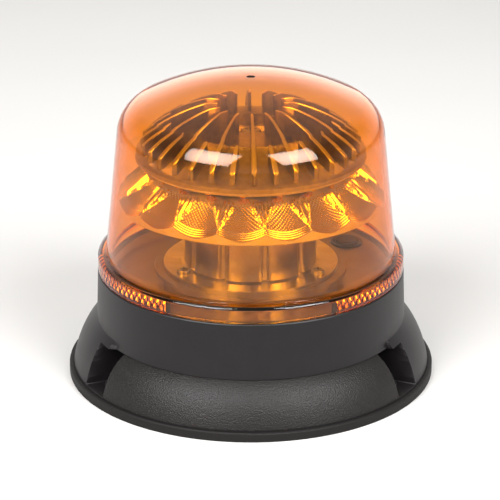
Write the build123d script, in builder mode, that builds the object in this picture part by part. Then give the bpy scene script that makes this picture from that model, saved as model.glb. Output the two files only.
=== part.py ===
"""Amber LED warning beacon for three-bolt mounting.

A black flared base bolts to a vehicle and carries a twist-lock amber lens. Inside the lens a fluted
tower holds a bright eighteen-cell reflector, and above it a round LED board hangs under a finned
heat sink, so that the LEDs shine down into the cells and out all round. The driver electronics sit
in the base, under the deck. Millimetres, +Z up, origin at the centre of the gasket's underside.
The front of the beacon faces -Y.
"""

import os
from math import asin, cos, degrees, radians, sin, sqrt, tan

from build123d import *

# Optics and lens
reflector_radius = 57.4
reflector_gap = 0.8  # reflector rim to the inside of the lens
lens_wall = 2.2
lens_draft = 5.75  # degrees, narrower towards the top
lens_corner = 15.8  # outside radius where the side turns into the crown
crown_radius = 110.0
crown_headroom = 10.1  # highest fin to the inside of the crown
gate_radius = 1.6  # moulding gate in the middle of the crown
gate_depth = 0.6
cell_count = 18

# Lens flange and twist lock
flange_step = 3.6  # flange radius beyond the side of the lens
flange_height = 7.3
flange_corner = 1.6
lug_count = 3
lug_span = 16.0  # degrees
lug_height = 1.8
lug_depth = 1.5
lug_angle = 44.0  # middle of the first lug, round from the front
window_span = 66.0  # gaps in the lens ring behind the clear parts of the lens flange
twist_travel = 25.0  # degrees from locked to free

# Base
gasket_thickness = 2.0
bead_height = 2.2
bead_width = 1.75
skirt_height = 20.8
skirt_flare = 10.6
skirt_bulge = 2.6
collar_height = 24.7
collar_draft = 0.8
base_wall = 2.6
deck_thickness = 3.0
deck_step = 1.5
deck_step_radius = 42.0
bolt_inset = 2.5  # bolt circle inside the foot of the collar
bolt_hole_radius = 4.25
sleeve_wall = 1.35
bolt_count = 3
nut_space = 9.0  # bolt axis to the back of its pocket
pocket_back_width = 14.0
pocket_mouth_width = 16.8

# Tower
tower_height = 45.6
tower_radius = 28.5
tower_wall = 2.4
flute_radius = 1.5
flute_count = 10
foot_radius = 38.0
foot_thickness = 1.6
tower_plate = 3.0
wire_offset = 12.5  # wires run up behind the axis
wire_hole_radius = 3.2
wire_radius = 0.7

# Reflector
reflector_flange = 1.5
reflector_depth = 13.6  # top face of the flange down to the cells' outer edge
reflector_wall = 1.5
rim_height = 1.4
reflector_bore = 16.5
cell_start = 19.4  # inner end of the cells inside the rim
ridge_shoulder = 9.7  # where the ridges start to fall, inside the rim
ridge_end = 2.9
ridge_drop = 6.0
cell_radius = 11.0

# LED board and heat sink
led_gap = 2.5  # reflector flange to the LED board
board_thickness = 1.6
led_size = 3.5
led_height = 0.8
led_dome_radius = 1.3
pad_thickness = 0.3
sink_overhang = 2.6  # board edge to the edge of the heat sink
sink_inset = 7.7  # heat sink edge inside the reflector rim
sink_plate = 2.3
sink_height = 22.5
fin_count = 32
fin_thickness = 1.9
fin_cap_ratio = 1.45  # radius of the fins' domed outline to the heat sink's
well_radius = 13.0
sink_foot_radius = 9.0
sink_screw = (2.5, 4.6)

# Electronics in the base
driver_board_radius = 42.0
driver_clearance = 12.5  # deck underside to the board
boss_radius = 3.4
button_radius = 5.4
button_angle = 122.0  # degrees round from the front
button_travel = 0.8
button_rise = 2.0
button_inset = 5.2  # button edge to the inside of the lens ring
button_lip = 0.9  # step under the button that holds it in the deck
bezel_width = 1.6
switch_boss_gap = 0.6  # button's lip to the bosses of its switch board
running_gap = 0.35
seat_gap = 0.15

# Fasteners, as shaft and head radii
small_screw = (1.2, 2.3)
large_screw = (1.5, 2.9)

# Heights, from the gasket up
skirt_bottom = gasket_thickness
skirt_top = skirt_bottom + skirt_height
deck_top = skirt_top + collar_height
deck_under = deck_top - deck_thickness
reflector_seat = deck_top + tower_height
reflector_top = reflector_seat + reflector_flange
rim_top = reflector_top - reflector_depth
board_under = reflector_top + led_gap
board_top = board_under + board_thickness
sink_under = board_top + pad_thickness
sink_top = sink_under + sink_height
lens_apex = sink_top + crown_headroom + lens_wall
flange_bottom = deck_top + running_gap
flange_top = flange_bottom + flange_height

# Radii
taper = tan(radians(lens_draft))


def side_radius(height):
    """Outside radius of the lens's side at a height."""
    return reflector_radius + reflector_gap + lens_wall + taper * (rim_top - height)


flange_radius = side_radius(flange_top) + flange_step
collar_top_radius = flange_radius + 0.1
collar_radius = collar_top_radius + collar_draft
skirt_radius = collar_radius + skirt_flare
gasket_radius = skirt_radius + seat_gap + bead_width
bolt_radius = collar_radius - bolt_inset
pocket_back = bolt_radius - nut_space
skirt_wall_inside = flange_radius - lens_wall
spigot_radius = skirt_wall_inside - running_gap
spigot_inside = spigot_radius - base_wall
sink_radius = reflector_radius - sink_inset
led_board_radius = sink_radius - sink_overhang
os.makedirs("parts", exist_ok=True)


def save(builder, name):
    """Labels a finished piece and writes its STEP file."""
    builder.part.label = name
    export_step(builder.part, f"parts/{name}.step")


def around(radius, angle):
    """Plan position at a radius and an angle round from the front."""
    return (radius * sin(radians(angle)), -radius * cos(radians(angle)))


def screw_points(radius, count, start):
    """Plan positions of screws spaced evenly on a circle."""
    return [around(radius, start + 360 * i / count) for i in range(count)]


def screws(points, seat, length, size, up=False):
    """Pan-head cross-recess screws with their heads on a seat and their shafts going down, or up."""
    shaft, head = size
    way = 1 if up else -1
    head_height = head * 0.7
    with BuildPart() as made:
        with BuildSketch(Plane.XY.offset(seat)):
            with Locations(*points):
                Circle(shaft)
        extrude(amount=way * length)
        with BuildSketch(Plane.XY.offset(seat)):
            with Locations(*points):
                Circle(head)
        extrude(amount=-way * head_height)
        ends = made.faces().sort_by(Axis.Z)
        crowns = ends[: len(points)] if up else ends[-len(points) :]
        fillet(crowns.edges(), head_height * 0.45)
        with BuildSketch(Plane.XY.offset(seat - way * head_height)):
            with Locations(*points):
                Rectangle(head * 1.1, head * 0.28)
                Rectangle(head * 0.28, head * 1.1)
        extrude(amount=way * head_height * 0.6, mode=Mode.SUBTRACT)
    return made


# ---------------------------------------------------------------- mounting gasket
# Rubber ring with a raised bead that wraps the foot of the skirt.
cover_radius = pocket_back - base_wall - 1.3
gasket_inside = cover_radius + 1.0
sleeve_radius = bolt_hole_radius + sleeve_wall
with BuildPart() as mounting_gasket:
    with BuildSketch():
        Circle(gasket_radius)
        Circle(gasket_inside, mode=Mode.SUBTRACT)
        with PolarLocations(bolt_radius, bolt_count, start_angle=90):
            Circle(sleeve_radius + seat_gap, mode=Mode.SUBTRACT)
    extrude(amount=gasket_thickness)
    with BuildSketch(Plane.XY.offset(gasket_thickness)):
        Circle(gasket_radius)
        Circle(gasket_radius - bead_width, mode=Mode.SUBTRACT)
    extrude(amount=bead_height)
    rims = mounting_gasket.edges().filter_by(GeomType.CIRCLE).group_by(SortBy.RADIUS)[-1]
    fillet(rims.sort_by(Axis.Z)[-1], bead_width * 0.45)
save(mounting_gasket, "mounting_gasket")

# ---------------------------------------------------------------- base housing
# One moulding: flared skirt, plain collar, deck and the ring that the lens turns on.
floor_top = skirt_bottom + 3.0
cover_thickness = 2.5
cover_seal = 0.8
ledge_bottom = skirt_bottom + cover_thickness + cover_seal
ledge_top = ledge_bottom + 4.5
ledge_radius = cover_radius - 6.5
cover_screw_circle = ledge_radius + 3.4
cavity_radius = collar_top_radius - base_wall
block_wall = 2.0
pocket_roof = skirt_top - 0.4
driver_top = deck_under - driver_clearance
driver_boss_circle = driver_board_radius - boss_radius - 1.0
tower_boss_circle = (tower_radius + foot_radius) / 2
foot_bottom = deck_top + deck_step
button_circle = spigot_inside - button_inset - button_radius
switch_drop = 7.0
lip_radius = button_radius + button_lip
bezel_radius = button_radius + running_gap
switch_boss_shift = lip_radius + switch_boss_gap + small_screw[1]
lug_top = flange_bottom + lug_height
groove_top = lug_top + running_gap
groove_radius = skirt_wall_inside - lug_depth - running_gap
step_under = flange_top - lens_wall
seal_height = 1.0
seal_inside = skirt_wall_inside + 0.5
seal_outside = flange_radius - 0.5
spigot_top = step_under - running_gap
lug_play = 1.5  # degrees of free play at each end of a lug
lug_starts = [lug_angle + 360 * i / lug_count - lug_span / 2 for i in range(lug_count)]
skirt_foot = (skirt_radius, skirt_bottom + bead_height)
skirt_middle = (
    (skirt_radius + collar_radius) / 2 + skirt_bulge * cos(radians(45)),
    (skirt_bottom + bead_height + skirt_top) / 2 + skirt_bulge * sin(radians(45)),
)


def pocket_plan(grow=0.0):
    """Plan of a bolt pocket that opens outwards along +X, with its walls grown by an amount."""
    back, mouth = pocket_back_width / 2 + grow, pocket_mouth_width / 2 + grow
    inner, outer = pocket_back - grow, gasket_radius + 5
    return Polygon((inner, -back), (outer, -mouth), (outer, mouth), (inner, back), align=None)


def sector(inner, outer, start, span):
    """Ring sector in plan, its angles counted round from the front."""
    far = outer / cos(radians(span / 2))
    corners = [around(far, start + span * i / 2) for i in range(3)]
    wedge = Polygon((0, 0), *corners, align=None)
    return (Circle(outer) - Circle(inner)) & wedge


way_span = lug_span + 2 * lug_play
groove_plans = []
way_plans = []
for start in lug_starts:
    locked = start - lug_play
    groove_plans.append(sector(groove_radius, spigot_radius + 1, locked, way_span + twist_travel))
    way_plans.append(sector(groove_radius, spigot_radius + 1, locked + twist_travel, way_span))
window_plans = []
for i in range(lug_count):
    window_start = 360 * i / lug_count - window_span / 2
    window_plans.append(sector(spigot_inside - 1, spigot_radius + 1, window_start, window_span))
pocket_cut = pocket_plan()
pocket_block = pocket_plan(block_wall)

with BuildPart() as envelope:
    with BuildSketch(Plane.XZ):
        with BuildLine():
            Polyline((0, skirt_bottom), (skirt_radius, skirt_bottom), skirt_foot)
            ThreePointArc(skirt_foot, skirt_middle, (collar_radius, skirt_top))
            Line((collar_radius, skirt_top), (collar_top_radius, deck_top))
            Polyline((collar_top_radius, deck_top), (0, deck_top), (0, skirt_bottom))
        make_face()
    revolve(axis=Axis.Z)

pocket_angles = [90 + 360 * i / bolt_count for i in range(bolt_count)]
with BuildPart() as pocket_blocks:
    for angle in pocket_angles:
        with BuildSketch(Plane.XY.offset(skirt_bottom).rotated((0, 0, angle))):
            add(pocket_block)
        extrude(amount=pocket_roof + block_wall - skirt_bottom)
    add(envelope.part, mode=Mode.INTERSECT)

with BuildPart() as base_housing:
    add(envelope.part)
    with BuildSketch(Plane.XZ):
        with BuildLine():
            Polyline(
                (0, skirt_bottom),
                (cover_radius + seat_gap, skirt_bottom),
                (cover_radius + seat_gap, ledge_bottom),
                (ledge_radius, ledge_bottom),
                (ledge_radius, ledge_top),
                (cover_radius + base_wall, ledge_top),
                (cover_radius + base_wall, floor_top),
                (skirt_radius - base_wall, floor_top),
                (collar_radius - base_wall, skirt_top - 1.5),
                (cavity_radius, deck_under),
                (0, deck_under),
                (0, skirt_bottom),
            )
        make_face()
    revolve(axis=Axis.Z, mode=Mode.SUBTRACT)
    add(pocket_blocks.part)
    for angle in pocket_angles:
        with BuildSketch(Plane.XY.offset(floor_top).rotated((0, 0, angle))):
            add(pocket_cut)
        extrude(amount=pocket_roof - floor_top, mode=Mode.SUBTRACT)
    # Step that carries the tower, and the broken ring that carries the lens
    with BuildSketch(Plane.XY.offset(deck_top)):
        Circle(deck_step_radius)
        with Locations(around(button_circle, button_angle)):
            Circle(bezel_radius + bezel_width + seat_gap, mode=Mode.SUBTRACT)
    extrude(amount=deck_step)
    with BuildSketch(Plane.XY.offset(deck_top)):
        Circle(spigot_radius)
        Circle(spigot_inside, mode=Mode.SUBTRACT)
    extrude(amount=spigot_top - deck_top)
    # Bosses under the deck
    with BuildSketch(Plane.XY.offset(deck_under)):
        with Locations(*screw_points(tower_boss_circle, 3, 60)):
            Circle(boss_radius)
    extrude(amount=-driver_clearance / 2)
    with BuildSketch(Plane.XY.offset(deck_under)):
        with Locations(*screw_points(driver_boss_circle, 4, 45)):
            Circle(boss_radius)
    extrude(amount=-driver_clearance)
    with BuildSketch(Plane.XY.offset(deck_under).rotated((0, 0, button_angle - 90))):
        with Locations((button_circle, switch_boss_shift), (button_circle, -switch_boss_shift)):
            Circle(small_screw[1])
    extrude(amount=-switch_drop)
    # Grooves for the lens lugs, each with an open way up at the free end
    with BuildSketch(Plane.XY.offset(deck_top)):
        add(groove_plans)
    extrude(amount=groove_top - deck_top, mode=Mode.SUBTRACT)
    with BuildSketch(Plane.XY.offset(deck_top)):
        add(way_plans)
    extrude(amount=spigot_top - deck_top, mode=Mode.SUBTRACT)
    with BuildSketch(Plane.XY.offset(deck_top)):
        add(window_plans)
    extrude(amount=spigot_top - deck_top, mode=Mode.SUBTRACT)
    with BuildSketch(Plane.XY.offset(deck_top)):
        Circle(seal_outside)
        Circle(seal_inside, mode=Mode.SUBTRACT)
    extrude(amount=-seal_height, mode=Mode.SUBTRACT)
    # Bolt holes, wire hole, button hole and screw pilots
    with BuildSketch(Plane.XY.offset(skirt_bottom)):
        with PolarLocations(bolt_radius, bolt_count, start_angle=90):
            Circle(sleeve_radius)
    extrude(amount=floor_top - skirt_bottom, mode=Mode.SUBTRACT)
    with BuildSketch(Plane.XY.offset(deck_under)):
        with Locations((0, wire_offset)):
            Circle(wire_hole_radius)
        with Locations(around(button_circle, button_angle)):
            Circle(button_radius + running_gap)
    extrude(amount=deck_thickness + deck_step, mode=Mode.SUBTRACT)
    with BuildSketch(Plane.XY.offset(ledge_bottom)):
        with Locations(*screw_points(cover_screw_circle, 6, 0)):
            Circle(small_screw[0])
    extrude(amount=3.5, mode=Mode.SUBTRACT)
    with BuildSketch(Plane.XY.offset(driver_top)):
        with Locations(*screw_points(driver_boss_circle, 4, 45)):
            Circle(small_screw[0])
    extrude(amount=6.5, mode=Mode.SUBTRACT)
    with BuildSketch(Plane.XY.offset(foot_bottom)):
        with Locations(*screw_points(tower_boss_circle, 3, 60)):
            Circle(large_screw[0])
    extrude(amount=-8.0, mode=Mode.SUBTRACT)
    with BuildSketch(Plane.XY.offset(deck_under - switch_drop).rotated((0, 0, button_angle - 90))):
        with Locations((button_circle, switch_boss_shift), (button_circle, -switch_boss_shift)):
            Circle(small_screw[0])
    extrude(amount=4.5, mode=Mode.SUBTRACT)
    # Arrow bar beside the button
    with BuildSketch(Plane.XY.offset(deck_top).rotated((0, 0, button_angle - 118))):
        with Locations((button_circle, 0)):
            Rectangle(1.2, 5.0)
    extrude(amount=0.8)
save(base_housing, "base_housing")

# ---------------------------------------------------------------- mounting sleeves
# Steel bushes that take the bolt load; a thin head rests on the pocket floor.
with BuildPart() as mounting_sleeves:
    with BuildSketch(Plane.XY.offset(seat_gap)):
        with PolarLocations(bolt_radius, bolt_count, start_angle=90):
            Circle(sleeve_radius)
    extrude(amount=floor_top - seat_gap)
    with BuildSketch(Plane.XY.offset(floor_top)):
        with PolarLocations(bolt_radius, bolt_count, start_angle=90):
            Circle(sleeve_radius + 1.0)
    extrude(amount=0.8)
    with BuildSketch():
        with PolarLocations(bolt_radius, bolt_count, start_angle=90):
            Circle(bolt_hole_radius)
    extrude(amount=floor_top + 2, mode=Mode.SUBTRACT)
save(mounting_sleeves, "mounting_sleeves")

# ---------------------------------------------------------------- bottom plate
grommet_radius = 7.0
vent_radius = 4.0
vent_at = around(30.0, 200)
cover_top = skirt_bottom + cover_thickness
with BuildPart() as bottom_plate:
    with BuildSketch(Plane.XY.offset(skirt_bottom)):
        Circle(cover_radius)
        Circle(grommet_radius, mode=Mode.SUBTRACT)
        with Locations(vent_at):
            Circle(vent_radius, mode=Mode.SUBTRACT)
        with Locations(*screw_points(cover_screw_circle, 6, 0)):
            Circle(small_screw[0], mode=Mode.SUBTRACT)
    extrude(amount=cover_thickness)
    # Stiffening ribs on the inside
    with BuildSketch(Plane.XY.offset(cover_top)):
        with PolarLocations(25.0, 6, start_angle=15):
            Rectangle(24.0, 1.6)
    extrude(amount=2.0)
save(bottom_plate, "bottom_plate")

with BuildPart() as bottom_plate_seal:
    with BuildSketch(Plane.XY.offset(cover_top)):
        Circle(cover_radius - 0.6)
        Circle(ledge_radius + 0.6, mode=Mode.SUBTRACT)
        with Locations(*screw_points(cover_screw_circle, 6, 0)):
            Circle(small_screw[0], mode=Mode.SUBTRACT)
    extrude(amount=cover_seal)
save(bottom_plate_seal, "bottom_plate_seal")

cover_screw_points = screw_points(cover_screw_circle, 6, 0)
cover_screw_length = cover_thickness + cover_seal + 3.2
bottom_plate_screws = screws(cover_screw_points, skirt_bottom, cover_screw_length, small_screw, up=True)
save(bottom_plate_screws, "bottom_plate_screws")

# ---------------------------------------------------------------- cable grommet and breather
cable_radius = 3.4
with BuildPart() as cable_grommet:
    with BuildSketch(Plane.XZ):
        Polygon(
            (cable_radius, 0.6),
            (grommet_radius + 2.0, 0.6),
            (grommet_radius + 2.0, skirt_bottom),
            (grommet_radius, skirt_bottom),
            (grommet_radius, cover_top),
            (grommet_radius + 1.8, cover_top),
            (grommet_radius + 1.8, cover_top + 1.4),
            (grommet_radius - 0.5, cover_top + 1.8),
            (cable_radius + 1.4, cover_top + 7.5),
            (cable_radius, cover_top + 7.5),
            align=None,
        )
    revolve(axis=Axis.Z)
save(cable_grommet, "cable_grommet")

with BuildPart() as vent_plug:
    with BuildSketch(Plane.XY.offset(skirt_bottom)):
        with Locations(vent_at):
            Circle(vent_radius)
    extrude(amount=cover_thickness)
    with BuildSketch(Plane.XY.offset(cover_top)):
        with Locations(vent_at):
            Circle(vent_radius + 1.6)
    extrude(amount=1.2)
    with BuildSketch(Plane.XY.offset(skirt_bottom)):
        with Locations(vent_at):
            with PolarLocations(vent_radius * 0.5, 4):
                Circle(0.6)
    extrude(amount=cover_thickness, mode=Mode.SUBTRACT)
save(vent_plug, "vent_plug")

# ---------------------------------------------------------------- driver electronics
driver_under = driver_top - board_thickness
with BuildPart() as driver_board:
    with BuildSketch(Plane.XY.offset(driver_under)):
        Circle(driver_board_radius)
        with Locations(*screw_points(driver_boss_circle, 4, 45)):
            Circle(small_screw[0], mode=Mode.SUBTRACT)
    extrude(amount=board_thickness)
save(driver_board, "driver_board")

driver_board_screws = screws(
    screw_points(driver_boss_circle, 4, 45), driver_under, board_thickness + 6.0, small_screw, up=True
)
save(driver_board_screws, "driver_board_screws")

with BuildPart() as power_inductor:
    with BuildSketch(Plane.XZ):
        Polygon(
            (0, driver_under),
            (8.5, driver_under),
            (8.5, driver_under - 1.6),
            (6.6, driver_under - 2.2),
            (6.6, driver_under - 7.4),
            (8.5, driver_under - 8.0),
            (8.5, driver_under - 9.6),
            (0, driver_under - 9.6),
            align=None,
        )
    revolve(axis=Axis.Z)
power_inductor.part = power_inductor.part.moved(Location((19, 6, 0)))
save(power_inductor, "power_inductor")

with BuildPart() as capacitors:
    with BuildSketch(Plane.XY.offset(driver_under)):
        with Locations((-19, 12), (-19, -1)):
            Circle(5.0)
    extrude(amount=-12.5)
    fillet(capacitors.faces().sort_by(Axis.Z)[:2].edges(), 0.8)
save(capacitors, "capacitors")

with BuildPart() as driver_chips:
    with BuildSketch(Plane.XY.offset(driver_top)):
        with Locations((-14, -8), (4, -16)):
            Rectangle(7, 7)
        with Locations((14, -6), (24, 4), (24, 12)):
            Rectangle(6.5, 5)
        with Locations((-20, 8), (-24, 2), (-12, 22), (14, 22), (-4, -27)):
            Rectangle(3.2, 1.8)
    extrude(amount=1.4)
save(driver_chips, "driver_chips")

with BuildPart() as power_terminal:
    with BuildSketch(Plane.XY.offset(driver_under)):
        with Locations((0, -22)):
            Rectangle(15, 9)
    extrude(amount=-9.0)
    with BuildSketch(Plane.XZ.offset(26.5)):
        with Locations((-3.75, driver_under - 5.5), (3.75, driver_under - 5.5)):
            Rectangle(3.4, 3.4)
    extrude(amount=-5.0, mode=Mode.SUBTRACT)
save(power_terminal, "power_terminal")

connector_height = 5.5
with BuildPart() as led_connector:
    with BuildSketch(Plane.XY.offset(driver_top)):
        with Locations((0, wire_offset)):
            Rectangle(8.0, 5.5)
    extrude(amount=connector_height)
save(led_connector, "led_connector")

# ---------------------------------------------------------------- lens seal
with BuildPart() as lens_seal:
    with BuildSketch(Plane.XY.offset(deck_top)):
        Circle(seal_outside)
        Circle(seal_inside, mode=Mode.SUBTRACT)
    extrude(amount=-seal_height)
save(lens_seal, "lens_seal")

# ---------------------------------------------------------------- lens
# Straight drafted side, rounded corner and shallow crown, all at an even wall.
slope = sqrt(1 + taper**2)
base_radius = side_radius(0)
crown_height = lens_apex - crown_radius
near = crown_radius - lens_corner
reach = base_radius - lens_corner * slope
# The corner's centre lies on the side line moved inwards and on a circle round the crown's centre
qa = 1 + taper**2
qb = -2 * (taper * reach + crown_height)
qc = reach**2 + crown_height**2 - near**2
corner_z = (-qb + sqrt(qb**2 - 4 * qa * qc)) / (2 * qa)
corner_r = reach - taper * corner_z
side_angle = degrees(asin(taper / slope))
crown_angle = degrees(asin((corner_z - crown_height) / near))


def arc_point(centre_r, centre_z, radius, angle):
    """Point on a profile arc at an angle above the horizontal."""
    return (centre_r + radius * cos(radians(angle)), centre_z + radius * sin(radians(angle)))


def lens_profile(inset, foot):
    """Filled half-section of the lens shape, moved inwards by an inset and cut off at a foot height."""
    corner, crown = lens_corner - inset, crown_radius - inset
    start = arc_point(corner_r, corner_z, corner, side_angle)
    turn = arc_point(corner_r, corner_z, corner, crown_angle)
    top = (0, crown_height + crown)
    with BuildSketch(Plane.XZ) as outline:
        with BuildLine():
            Line((0, foot), (side_radius(foot) - inset * slope, foot))
            Line((side_radius(foot) - inset * slope, foot), start)
            ThreePointArc(start, arc_point(corner_r, corner_z, corner, (side_angle + crown_angle) / 2), turn)
            ThreePointArc(turn, arc_point(0, crown_height, crown, (90 + crown_angle) / 2), top)
            Line(top, (0, foot))
        make_face()
    return outline.sketch


outer_outline = lens_profile(0, step_under)
inner_outline = lens_profile(lens_wall, step_under - 1)
lug_inside = skirt_wall_inside - lug_depth
lug_plans = [sector(lug_inside, skirt_wall_inside + 0.5, start, lug_span) for start in lug_starts]
with BuildPart() as lens:
    revolve(outer_outline, axis=Axis.Z)
    with BuildSketch(Plane.XZ):
        with BuildLine():
            Polyline((0, flange_top), (0, flange_bottom), (flange_radius, flange_bottom))
            Line((flange_radius, flange_bottom), (flange_radius, flange_top - flange_corner))
            ThreePointArc(
                (flange_radius, flange_top - flange_corner),
                arc_point(flange_radius - flange_corner, flange_top - flange_corner, flange_corner, 45),
                (flange_radius - flange_corner, flange_top),
            )
            Line((flange_radius - flange_corner, flange_top), (0, flange_top))
        make_face()
    revolve(axis=Axis.Z)
    revolve(inner_outline, axis=Axis.Z, mode=Mode.SUBTRACT)
    with BuildSketch(Plane.XY.offset(flange_bottom)):
        Circle(skirt_wall_inside)
    extrude(amount=step_under - flange_bottom, mode=Mode.SUBTRACT)
    with BuildSketch(Plane.XY.offset(flange_bottom)):
        add(lug_plans)
    extrude(amount=lug_height)
    with BuildSketch(Plane.XY.offset(lens_apex - gate_depth)):
        Circle(gate_radius)
    extrude(amount=gate_depth, mode=Mode.SUBTRACT)
save(lens, "lens")

# ---------------------------------------------------------------- tower
# Cast tube with narrow flutes, a screwed foot and a closed top.
with BuildPart() as tower:
    with BuildSketch(Plane.XY.offset(foot_bottom)):
        Circle(foot_radius)
    extrude(amount=foot_thickness)
    with BuildSketch(Plane.XY.offset(foot_bottom)):
        Circle(tower_radius)
        with PolarLocations(tower_radius, flute_count, start_angle=12 - 90):
            Circle(flute_radius, mode=Mode.SUBTRACT)
    extrude(amount=reflector_seat - foot_bottom)
    with BuildSketch(Plane.XY.offset(foot_bottom)):
        Circle(tower_radius - tower_wall)
    extrude(amount=reflector_seat - tower_plate - foot_bottom, mode=Mode.SUBTRACT)
    with BuildSketch(Plane.XY.offset(reflector_seat - tower_plate)):
        Circle(sink_screw[0] + 3.0)
    extrude(amount=-6.5)
    with BuildSketch(Plane.XY.offset(reflector_seat)):
        Circle(sink_screw[0])
    extrude(amount=-8.5, mode=Mode.SUBTRACT)
    with BuildSketch(Plane.XY.offset(reflector_seat)):
        with Locations(*screw_points(21.0, 3, 60)):
            Circle(small_screw[0])
        with Locations((0, wire_offset)):
            Circle(wire_hole_radius)
    extrude(amount=-tower_plate, mode=Mode.SUBTRACT)
    with BuildSketch(Plane.XY.offset(foot_bottom)):
        with Locations(*screw_points(tower_boss_circle, 3, 60)):
            Circle(large_screw[0])
    extrude(amount=foot_thickness, mode=Mode.SUBTRACT)
save(tower, "tower")

tower_screws = screws(screw_points(tower_boss_circle, 3, 60), foot_bottom + foot_thickness, 8.5, large_screw)
save(tower_screws, "tower_screws")

# ---------------------------------------------------------------- reflector
# Metallised dish with a ring of scooped cells between sharp ridges.
cell_inner = reflector_radius - cell_start
cell_outer = reflector_radius
cell_length = sqrt((cell_outer - cell_inner) ** 2 + reflector_depth**2)
cell_slope = degrees(asin(reflector_depth / cell_length))
ridge_angle = 6.0
with BuildPart() as reflector:
    with BuildSketch(Plane.XZ):
        Polygon(
            (reflector_bore, reflector_seat),
            (cell_inner - 1.5, reflector_seat),
            (reflector_radius - 1.2, rim_top - rim_height - 0.6),
            (reflector_radius, rim_top - rim_height - 0.6),
            (reflector_radius, rim_top),
            (reflector_radius - ridge_end, rim_top + reflector_depth - ridge_drop),
            (reflector_radius - ridge_shoulder, reflector_top - 0.4),
            (reflector_radius - ridge_shoulder - 1.5, reflector_top),
            (reflector_bore, reflector_top),
            align=None,
        )
    revolve(axis=Axis.Z)
    for i in range(cell_count):
        turn = ridge_angle + (i + 0.5) * 360 / cell_count
        outward = Vector(sin(radians(turn)), -cos(radians(turn)), 0)
        along = outward * (cell_outer - cell_inner) - Vector(0, 0, reflector_depth)
        rise = outward * reflector_depth + Vector(0, 0, cell_outer - cell_inner)
        centre = outward * cell_inner + Vector(0, 0, reflector_top) + rise.normalized() * cell_radius
        with BuildSketch(Plane(origin=centre, z_dir=along)):
            Circle(cell_radius)
        extrude(amount=cell_length + 12, mode=Mode.SUBTRACT)
    with BuildSketch(Plane.XY.offset(reflector_seat)):
        with Locations(*screw_points(21.0, 3, 60)):
            Circle(small_screw[0])
    extrude(amount=reflector_flange, mode=Mode.SUBTRACT)
save(reflector, "reflector")

reflector_screws = screws(screw_points(21.0, 3, 60), reflector_top, reflector_flange + 2.8, small_screw)
save(reflector_screws, "reflector_screws")

# ---------------------------------------------------------------- LED board
led_circle = led_board_radius - led_size
led_points = screw_points(led_circle, cell_count, ridge_angle + 180 / cell_count)
board_screw_points = screw_points(28.0, 6, 30)
board_hole = sink_foot_radius + 1.0
with BuildPart() as led_board:
    with BuildSketch(Plane.XY.offset(board_under)):
        Circle(led_board_radius)
        Circle(board_hole, mode=Mode.SUBTRACT)
        with Locations(*board_screw_points):
            Circle(small_screw[0], mode=Mode.SUBTRACT)
    extrude(amount=board_thickness)
save(led_board, "led_board")

with BuildPart() as leds:
    for i in range(cell_count):
        turn = ridge_angle + (i + 0.5) * 360 / cell_count
        with BuildSketch(Plane.XY.offset(board_under).rotated((0, 0, turn - 90))):
            with Locations((led_circle, 0)):
                Rectangle(led_size, led_size)
        extrude(amount=-led_height)
        with BuildSketch(Plane.XY.offset(board_under - led_height)):
            with Locations(around(led_circle, turn)):
                Circle(led_dome_radius)
        extrude(amount=-led_dome_radius * 0.7)
    fillet(leds.faces().sort_by(Axis.Z)[:cell_count].edges(), led_dome_radius * 0.5)
save(leds, "leds")

board_screw_length = board_thickness + pad_thickness + 2.0
led_board_screws = screws(board_screw_points, board_under, board_screw_length, small_screw, up=True)
save(led_board_screws, "led_board_screws")

with BuildPart() as thermal_pad:
    with BuildSketch(Plane.XY.offset(board_top)):
        Circle(led_board_radius)
        Circle(board_hole, mode=Mode.SUBTRACT)
        with Locations(*board_screw_points):
            Circle(small_screw[0], mode=Mode.SUBTRACT)
    extrude(amount=pad_thickness)
save(thermal_pad, "thermal_pad")

with BuildPart() as led_leads:
    for side in (-1.4, 1.4):
        with BuildSketch(Plane.XY.offset(driver_top + connector_height)):
            with Locations((side, wire_offset)):
                Circle(wire_radius)
        extrude(amount=board_under - driver_top - connector_height)
save(led_leads, "led_leads")

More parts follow.
